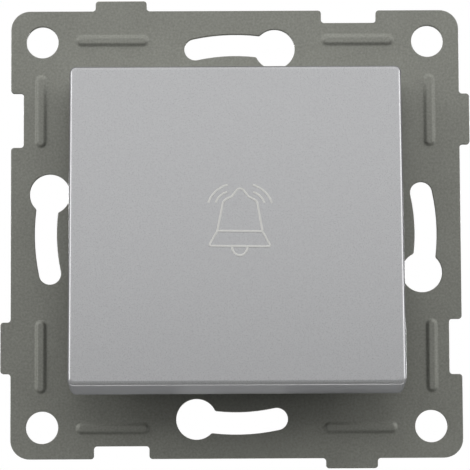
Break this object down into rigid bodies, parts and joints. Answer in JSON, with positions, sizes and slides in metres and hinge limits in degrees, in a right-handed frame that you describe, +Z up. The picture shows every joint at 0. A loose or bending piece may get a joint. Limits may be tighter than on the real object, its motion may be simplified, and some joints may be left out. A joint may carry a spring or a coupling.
{
  "type": "pushbutton switch",
  "caption": "Flush wall push button insert: a tilted rocker button on a stamped steel plate with keyhole slots, and a contact housing with screw terminals behind it.",
  "frame": {"origin": "centre of the support plate on its rear face, which lies on the wall", "axes": "+Z up, -Y out of the wall to the front, +X to the right seen from the front"},
  "size_m": [0.0742, 0.0384, 0.0742],
  "materials": {
    "plate_steel": "zinc-plated sheet, dull",
    "silver_paint": "silver metallic paint, satin",
    "white_moulding": "moulded, satin",
    "grey_moulding": "moulded, satin",
    "contact_brass": "rolled strip",
    "contact_silver": "silver alloy",
    "zinc_steel": "bright zinc plate",
    "spring_steel": "drawn wire"
  },
  "bodies": {
    "insert": {"support_plate": "plate_steel", "base_housing": "white_moulding", "front_cover": "grey_moulding", "return_spring": "spring_steel", "fixed_contact_left": "contact_brass", "fixed_contact_right": "contact_brass", "fixed_tip_left": "contact_silver", "fixed_tip_right": "contact_silver"},
    "rocker": {"rocker_cradle": "white_moulding", "button_cap": "silver_paint"},
    "slider": {"plunger": "white_moulding", "contact_bridge": "contact_brass", "bridge_spring": "spring_steel", "bridge_tip_left": "contact_silver", "bridge_tip_right": "contact_silver"},
    "screw_left": {"terminal_screw_left": "zinc_steel"},
    "screw_right": {"terminal_screw_right": "zinc_steel"},
    "cage_left": {"clamp_cage_left": "zinc_steel"},
    "cage_right": {"clamp_cage_right": "zinc_steel"}
  },
  "joints": [
    {"name": "button_press", "type": "hinge", "parent": "insert", "child": "rocker", "pos_m": [0, -0.007, -0.00048], "axis": [1, 0, 0], "range_deg": [0, 9], "stiffness_Nm_per_rad": 0.3, "springref_deg": -6.88},
    {"name": "plunger_slide", "type": "slide", "parent": "insert", "child": "slider", "axis": [0, 1, 0], "range_m": [0, 0.00191], "deforming": ["return_spring"]},
    {"name": "screw_turn_left", "type": "hinge", "parent": "insert", "child": "screw_left", "pos_m": [-0.0165, 0.0156, -0.0125], "axis": [1, 0, 0], "range_deg": [0, 1680]},
    {"name": "cage_slide_left", "type": "slide", "parent": "insert", "child": "cage_left", "axis": [-1, 0, 0], "range_m": [0, 0.0028]},
    {"name": "screw_turn_right", "type": "hinge", "parent": "insert", "child": "screw_right", "pos_m": [0.0165, 0.0156, -0.0125], "axis": [-1, 0, 0], "range_deg": [0, 1680]},
    {"name": "cage_slide_right", "type": "slide", "parent": "insert", "child": "cage_right", "axis": [1, 0, 0], "range_m": [0, 0.0028]}
  ],
  "couplings": [
    {"joint": "plunger_slide", "follows": "button_press", "m_per_rad": 0.012148},
    {"joint": "screw_turn_left", "follows": "cage_slide_left", "rad_per_m": 10472},
    {"joint": "screw_turn_right", "follows": "cage_slide_right", "rad_per_m": 10472}
  ]
}
